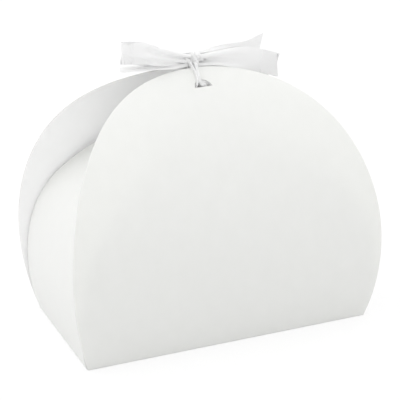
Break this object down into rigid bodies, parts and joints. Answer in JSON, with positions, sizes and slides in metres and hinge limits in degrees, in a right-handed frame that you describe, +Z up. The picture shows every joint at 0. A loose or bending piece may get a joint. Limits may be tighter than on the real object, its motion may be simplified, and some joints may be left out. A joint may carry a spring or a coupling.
{
  "type": "cake box",
  "caption": "Small folded board cake box with bowed arched front and back, tucked end tongues and a ribbon bow tied through holes at the crown.",
  "frame": {"origin": "middle of the base panel's underside, on the surface that the box stands on", "axes": "+Z up, +X along the base's long side towards the right end, +Y from the front panel towards the back panel"},
  "size_m": [0.14, 0.0856, 0.1289],
  "materials": {
    "board": "smooth coated white board, matt to satin",
    "ribbon": "white satin ribbon"
  },
  "bodies": {
    "base": {"base_panel": "board", "front_crease": "board", "back_crease": "board", "left_crease": "board", "right_crease": "board"},
    "front": {"front_panel": "board"},
    "back": {"back_panel": "board"},
    "left_end": {"left_end_panel": "board"},
    "right_end": {"right_end_panel": "board"},
    "ribbon": {"ribbon_knot": "ribbon", "ribbon_left_loop": "ribbon", "ribbon_right_loop": "ribbon", "ribbon_left_tail": "ribbon", "ribbon_right_tail": "ribbon", "ribbon_front_leg": "ribbon", "ribbon_back_leg": "ribbon", "ribbon_crossing": "ribbon"}
  },
  "joints": [
    {"name": "front_fold", "type": "hinge", "parent": "base", "child": "front", "pos_m": [0, -0.03675, 0.00025], "axis": [1, 0, 0], "range_deg": [0, 72], "deforming": ["ribbon_front_leg"]},
    {"name": "back_fold", "type": "hinge", "parent": "base", "child": "back", "pos_m": [0, 0.03675, 0.00025], "axis": [-1, 0, 0], "range_deg": [0, 72]},
    {"name": "left_end_fold", "type": "hinge", "parent": "base", "child": "left_end", "pos_m": [-0.0645, 0, 0.00025], "axis": [0, -1, 0], "range_deg": [0, 73]},
    {"name": "right_end_fold", "type": "hinge", "parent": "base", "child": "right_end", "pos_m": [0.0645, 0, 0.00025], "axis": [0, 1, 0], "range_deg": [0, 73]},
    {"name": "ribbon_lift", "type": "slide", "parent": "back", "child": "ribbon", "axis": [0, 0, 1], "range_m": [0, 0.05], "deforming": ["ribbon_back_leg", "ribbon_crossing"]}
  ]
}
